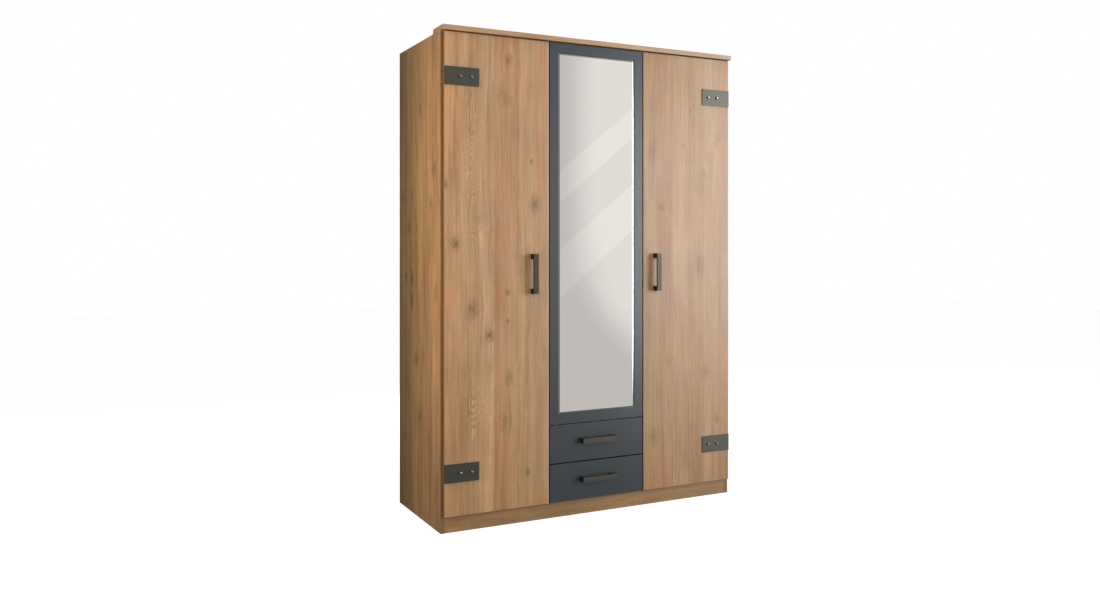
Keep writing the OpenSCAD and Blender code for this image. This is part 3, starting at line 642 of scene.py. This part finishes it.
side_decor = side_oak()
finishes = {
    "oak_decor": shelf_oak,
    "graphite_decor": graphite(),
    "mirror": mirror_material(),
    "hardboard": hardboard(),
    "drawer_board": mottled("drawer board", srgb(205, 200, 190), 0.5, 0.06, 40.0),
    "dark_metal": brushed_dark("handle metal upright", srgb(44, 42, 36), 0.38, True),
    "strap_metal": mottled("strap metal", srgb(60, 57, 48), 0.42, 0.22, 70.0, Metallic=0.5),
    "bolt_metal": mottled("bolt metal", srgb(158, 158, 152), 0.22, 0.25, 200.0, Metallic=0.95),
    "nylon": mottled("nylon", srgb(226, 222, 210), 0.45, 0.06, 200.0),
    "runner_steel": mottled("white enamel", srgb(226, 226, 220), 0.32, 0.05, 60.0),
    "screw_steel": mottled("screw steel", srgb(196, 190, 180), 0.36, 0.15, 200.0, Metallic=0.9),
    "plated_steel": mottled("nickel plate", srgb(190, 190, 188), 0.28, 0.12, 120.0, Metallic=1.0),
}
lying_handle_metal = brushed_dark("handle metal lying", srgb(54, 50, 47), 0.38, False)
by_node = {
    "left_door": left_door_oak(),
    "right_door": right_door_oak(),
    "left_side": side_decor,
    "right_side": side_decor,
    "left_divider": inside_oak,
    "right_divider": inside_oak,
    "cornice": cornice_oak,
    "front_plinth": plinth_oak,
    "rear_plinth": plinth_oak,
    "upper_handle": lying_handle_metal,
    "lower_handle": lying_handle_metal,
}


def dress(node, material):
    node.data.materials.clear()
    node.data.materials.append(material)


def soften_edges(node, width):
    """Rounds a CAD node's sharp edges a little, as the real piece's are."""
    for face in node.data.polygons:
        face.use_smooth = False
    bevel = node.modifiers.new("edges", "BEVEL")
    bevel.width = width
    bevel.segments = 2
    bevel.limit_method = "ANGLE"
    bevel.angle_limit = math.radians(50)
    bevel.harden_normals = False
    bevel.use_clamp_overlap = True


# how far the edges of each finish are rounded, in metres
edge_widths = {
    "oak_decor": 0.0008,
    "graphite_decor": 0.0008,
    "dark_metal": 0.0012,
    "strap_metal": 0.0006,
}
for part in record["subparts"]:
    name = part["node"]
    slot_name = part["material_slot"]
    dress(nodes[name], by_node.get(name, finishes[slot_name]))
    if slot_name in edge_widths:
        soften_edges(nodes[name], edge_widths[slot_name])


# ---- camera ----

CAMERA_PLACE = Vector((-1.9298, -4.0081, 1.1236))
CAMERA_TURN = math.radians(29.34)
SENSOR_WIDTH = 36.0
FOCAL_LENGTH = 32.734
FRAME_SHIFT = (-0.0751, -0.0502)


def make_camera():
    data = bpy.data.cameras.new("camera")
    data.sensor_width = SENSOR_WIDTH
    data.lens = FOCAL_LENGTH
    data.shift_x, data.shift_y = FRAME_SHIFT
    camera = bpy.data.objects.new("camera", data)
    camera.location = CAMERA_PLACE
    camera.rotation_euler = (math.radians(90), 0.0, -CAMERA_TURN)
    bpy.context.scene.collection.objects.link(camera)
    bpy.context.scene.camera = camera


# ---- floor, reflected panel, light ----

def rectangle(name, corners):
    mesh = bpy.data.meshes.new(name)
    mesh.from_pydata(corners, [], [(0, 1, 2, 3)])
    plane = bpy.data.objects.new(name, mesh)
    bpy.context.scene.collection.objects.link(plane)
    return plane


def make_floor():
    """A pale floor that glows to near white. It takes shadows, and sheds no light on the part."""
    reach = 14.0
    glow = 0.74
    corners = [(-reach, -reach, 0), (reach, -reach, 0), (reach, reach, 0), (-reach, reach, 0)]
    floor = rectangle("floor", corners)
    material, g, shader = new_material("pale floor", Roughness=0.6)
    x, y, z = g.position()
    cloud = g.noise(g.times(x, 3.0), g.times(y, 3.0), 0.0, 3.0)
    color = g.mix(cloud, (0.50, 0.50, 0.50, 1.0), (0.53, 0.53, 0.525, 1.0))
    g.feed(shader.inputs["Base Color"], color)
    g.feed(shader.inputs["Emission Color"], WHITE)
    g.feed(shader.inputs["Emission Strength"], glow)
    dress(floor, material)
    floor.visible_diffuse = False
    floor.visible_glossy = False


def make_reflected_panel():
    """A lit panel in front of the wardrobe that only mirrors and gloss see: a pale field that
    dims to the left and below, crossed by two brighter slanted bands."""
    distance = 1.8          # from the mirror to the panel
    margin = 0.03           # by which the panel's mirror image outreaches the mirror
    band_slope = 0.82       # rise of the bands over their run
    band_blur = 0.004
    bands = ((1.046, 1.246), (1.441, 1.569))
    field_strength = 1.17
    band_strength = 0.105
    dim_slope = 0.9         # rise of the dim corner's edge over its run
    dim_height = 0.17
    dim_color = srgb(191, 187, 184)
    bright_color = srgb(225, 220, 216)

    mirror_y = MIRROR[0].y
    reach = (mirror_y - CAMERA_PLACE.y + distance) / (mirror_y - CAMERA_PLACE.y)
    y0 = mirror_y - distance
    x0 = CAMERA_PLACE.x + reach * (MIRROR[0].x - margin - CAMERA_PLACE.x)
    x1 = CAMERA_PLACE.x + reach * (MIRROR[1].x + margin - CAMERA_PLACE.x)
    z0 = CAMERA_PLACE.z + reach * (MIRROR[0].z - margin - CAMERA_PLACE.z)
    z1 = CAMERA_PLACE.z + reach * (MIRROR[1].z + margin - CAMERA_PLACE.z)
    panel = rectangle("reflected panel", [(x0, y0, z0), (x0, y0, z1), (x1, y0, z1), (x1, y0, z0)])
    material = bpy.data.materials.new("reflected panel")
    material.use_nodes = True
    material.node_tree.nodes.clear()
    g = Graph(material.node_tree)
    x, y, z = g.position()
    # the mirror's own x and z for each point of the panel
    x = g.plus(g.over(g.minus(x, CAMERA_PLACE.x), reach), CAMERA_PLACE.x)
    z = g.plus(g.over(g.minus(z, CAMERA_PLACE.z), reach), CAMERA_PLACE.z)
    left_x, low_z, right_x = MIRROR[0].x, MIRROR[0].z, MIRROR[1].x
    dim_width = g.between(z, 0.90, 1.35, 0.28, 0.19)
    bright = g.between(x, left_x, g.plus(left_x, dim_width))
    lift = g.minus(g.minus(z, low_z + dim_height), g.times(g.minus(right_x, x), dim_slope))
    bright = g.times(bright, g.between(lift, -0.03, 0.25))
    slant = g.minus(z, g.times(x, band_slope))
    in_band = 0.0
    for low, high in bands:
        in_band = g.plus(in_band, g.inside(slant, low, high, band_blur))
    emission = g.add("ShaderNodeEmission")
    g.feed(emission.inputs["Color"], g.mix(bright, dim_color, bright_color))
    strength = g.plus(field_strength, g.times(in_band, band_strength))
    g.feed(emission.inputs["Strength"], strength)
    output = g.add("ShaderNodeOutputMaterial")
    g.feed(output.inputs["Surface"], emission.outputs[0])
    dress(panel, material)
    panel.visible_camera = False
    panel.visible_diffuse = False
    panel.visible_transmission = False
    panel.visible_shadow = False


def softbox(name, place, target, size, power, color=(1.0, 1.0, 1.0), gloss=False):
    """A rectangular light aimed at a target. It lights surfaces, or shows only as gloss on them."""
    data = bpy.data.lights.new(name, "AREA")
    data.shape = "RECTANGLE"
    data.size, data.size_y = size
    data.energy = power
    data.color = color
    light = bpy.data.objects.new(name, data)
    light.location = place
    light.rotation_euler = (Vector(target) - Vector(place)).to_track_quat("-Z", "Y").to_euler()
    bpy.context.scene.collection.objects.link(light)
    light.visible_camera = False
    light.visible_glossy = gloss
    light.visible_diffuse = not gloss


def make_world():
    """White to the camera; as light, brightest from the front and above and dim from behind."""
    world = bpy.data.worlds.new("studio")
    bpy.context.scene.world = world
    world.use_nodes = True
    world.node_tree.nodes.clear()
    g = Graph(world.node_tree)
    direction = g.add("ShaderNodeTexCoord").outputs["Generated"]
    parts = g.add("ShaderNodeSeparateXYZ")
    g.feed(parts.inputs[0], direction)
    front = g.between(parts.outputs[1], -1.0, 0.6, 1.0, 0.35)
    height = g.between(parts.outputs[2], -0.5, 0.5, 0.45, 1.0)
    light = g.add("ShaderNodeBackground")
    g.feed(light.inputs["Color"], WHITE)
    g.feed(light.inputs["Strength"], g.times(g.times(front, height), 0.78))
    white = g.add("ShaderNodeBackground")
    g.feed(white.inputs["Color"], WHITE)
    g.feed(white.inputs["Strength"], 1.0)
    seen = g.add("ShaderNodeLightPath").outputs["Is Camera Ray"]
    both = g.add("ShaderNodeMixShader")
    g.feed(both.inputs[0], seen)
    g.feed(both.inputs[1], light.outputs[0])
    g.feed(both.inputs[2], white.outputs[0])
    output = g.add("ShaderNodeOutputWorld")
    g.feed(output.inputs["Surface"], both.outputs[0])


make_camera()
make_floor()
make_reflected_panel()
make_world()
cool = (0.98, 0.99, 1.0)
softbox("right softbox", (3.4, -3.6, 1.7), (0.4, 0.0, 1.1), (2.2, 2.4), 80.0)
softbox("right sheen", (3.95, -3.7, 1.27), (1.1, -0.27, 1.27), (3.0, 2.5), 320.0, cool, True)
softbox("upper sheen", (4.9, -3.4, 2.9), (1.5, -0.27, 2.9), (1.8, 1.0), 75.0, cool, True)
softbox("left softbox", (-1.45, -0.60, 1.25), (-0.675, -0.24, 1.2), (0.4, 1.5), 10.0)
softbox("top softbox", (0.2, -1.2, 3.6), (0.1, 0.0, 0.0), (2.6, 2.2), 16.0)
softbox("rear softbox", (0.3, 3.2, 1.7), (0.0, 0.3, 1.0), (2.4, 2.2), 75.0)
bpy.context.scene.view_settings.view_transform = "Standard"
